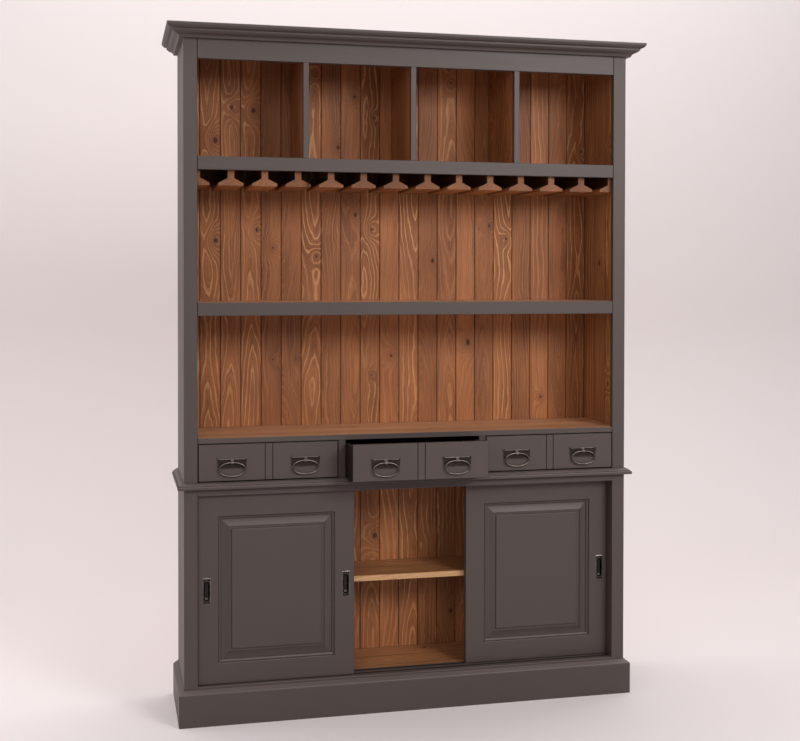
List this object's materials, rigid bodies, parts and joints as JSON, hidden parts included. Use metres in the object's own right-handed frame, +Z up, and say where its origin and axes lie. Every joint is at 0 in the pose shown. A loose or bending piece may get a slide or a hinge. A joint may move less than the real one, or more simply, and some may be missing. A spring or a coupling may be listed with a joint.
{
  "type": "wine cabinet",
  "caption": "Tall painted wine cabinet: open stained-pine shelves with cubbies and a stemware rack over drawers with ring pulls and a cupboard with sliding panelled doors.",
  "frame": {"origin": "on the floor, at the middle of the carcass's width and depth, under the middle floor bearer", "axes": "+Z up, +Y towards the wall behind the cabinet, +X to the right as one faces it"},
  "size_m": [1.586, 0.4424, 2.2],
  "materials": {
    "grey_paint": "warm anthracite grey furniture paint, satin, on planed pine",
    "stained_pine": "brushed pine with a brown stain, matt",
    "raw_pine": "planed pine, unfinished",
    "black_iron": "blackened, half-matt"
  },
  "bodies": {
    "carcass": {"base_back_boards": "stained_pine", "base_floor": "stained_pine", "base_plinth": "grey_paint", "base_shelf": "stained_pine", "base_side_left": "grey_paint", "base_side_right": "grey_paint", "base_stiles": "grey_paint", "base_toe_rail": "grey_paint", "base_top_board": "raw_pine", "cornice": "grey_paint", "counter_board": "stained_pine", "counter_rail": "grey_paint", "cubby_dividers": "stained_pine", "cubby_shelf": "stained_pine", "divider_lippings": "grey_paint", "door_head": "grey_paint", "door_sill": "grey_paint", "door_stops": "grey_paint", "drawer_guides": "raw_pine", "drawer_partitions": "grey_paint", "floor_bearers": "raw_pine", "hutch_back_boards": "stained_pine", "hutch_floor": "stained_pine", "hutch_side_left": "grey_paint", "hutch_side_right": "grey_paint", "hutch_stiles": "grey_paint", "hutch_top_board": "raw_pine", "hutch_top_rail": "grey_paint", "middle_shelf": "stained_pine", "shelf_bearers": "raw_pine", "shelf_rails": "grey_paint", "stemware_rails": "stained_pine", "waist_moulding": "grey_paint"},
    "left_door": {"left_door_beads": "grey_paint", "left_door_frame": "grey_paint", "left_door_panel": "grey_paint", "left_door_pulls": "black_iron"},
    "left_drawer_bail_left": {"left_drawer_bail_left": "black_iron"},
    "left_drawer_bail_right": {"left_drawer_bail_right": "black_iron"},
    "left_drawer": {"left_drawer_bottom": "stained_pine", "left_drawer_box": "stained_pine", "left_drawer_front": "grey_paint", "left_drawer_plates": "black_iron"},
    "middle_drawer_bail_left": {"middle_drawer_bail_left": "black_iron"},
    "middle_drawer_bail_right": {"middle_drawer_bail_right": "black_iron"},
    "middle_drawer": {"middle_drawer_bottom": "stained_pine", "middle_drawer_box": "stained_pine", "middle_drawer_front": "grey_paint", "middle_drawer_plates": "black_iron"},
    "right_door": {"right_door_beads": "grey_paint", "right_door_frame": "grey_paint", "right_door_panel": "grey_paint", "right_door_pulls": "black_iron"},
    "right_drawer_bail_left": {"right_drawer_bail_left": "black_iron"},
    "right_drawer_bail_right": {"right_drawer_bail_right": "black_iron"},
    "right_drawer": {"right_drawer_bottom": "stained_pine", "right_drawer_box": "stained_pine", "right_drawer_front": "grey_paint", "right_drawer_plates": "black_iron"}
  },
  "joints": [
    {"name": "left_door_slide", "type": "slide", "parent": "carcass", "child": "left_door", "axis": [1, 0, 0], "range_m": [0, 0.89]},
    {"name": "right_door_slide", "type": "slide", "parent": "carcass", "child": "right_door", "axis": [1, 0, 0], "range_m": [-0.89, 0]},
    {"name": "left_drawer_slide", "type": "slide", "parent": "carcass", "child": "left_drawer", "axis": [0, -1, 0], "range_m": [0, 0.2]},
    {"name": "middle_drawer_slide", "type": "slide", "parent": "carcass", "child": "middle_drawer", "axis": [0, -1, 0], "range_m": [-0.11, 0.09]},
    {"name": "right_drawer_slide", "type": "slide", "parent": "carcass", "child": "right_drawer", "axis": [0, -1, 0], "range_m": [0, 0.2]},
    {"name": "left_drawer_left_bail_swing", "type": "hinge", "parent": "left_drawer", "child": "left_drawer_bail_left", "pos_m": [-0.59025, -0.168, 0.828], "axis": [-1, 0, 0], "range_deg": [-4, 85]},
    {"name": "left_drawer_right_bail_swing", "type": "hinge", "parent": "left_drawer", "child": "left_drawer_bail_right", "pos_m": [-0.35575, -0.168, 0.828], "axis": [-1, 0, 0], "range_deg": [-4, 85]},
    {"name": "middle_drawer_left_bail_swing", "type": "hinge", "parent": "middle_drawer", "child": "middle_drawer_bail_left", "pos_m": [-0.11725, -0.278, 0.828], "axis": [-1, 0, 0], "range_deg": [-4, 85]},
    {"name": "middle_drawer_right_bail_swing", "type": "hinge", "parent": "middle_drawer", "child": "middle_drawer_bail_right", "pos_m": [0.11725, -0.278, 0.828], "axis": [-1, 0, 0], "range_deg": [-4, 85]},
    {"name": "right_drawer_left_bail_swing", "type": "hinge", "parent": "right_drawer", "child": "right_drawer_bail_left", "pos_m": [0.35575, -0.168, 0.828], "axis": [-1, 0, 0], "range_deg": [-4, 85]},
    {"name": "right_drawer_right_bail_swing", "type": "hinge", "parent": "right_drawer", "child": "right_drawer_bail_right", "pos_m": [0.59025, -0.168, 0.828], "axis": [-1, 0, 0], "range_deg": [-4, 85]}
  ]
}
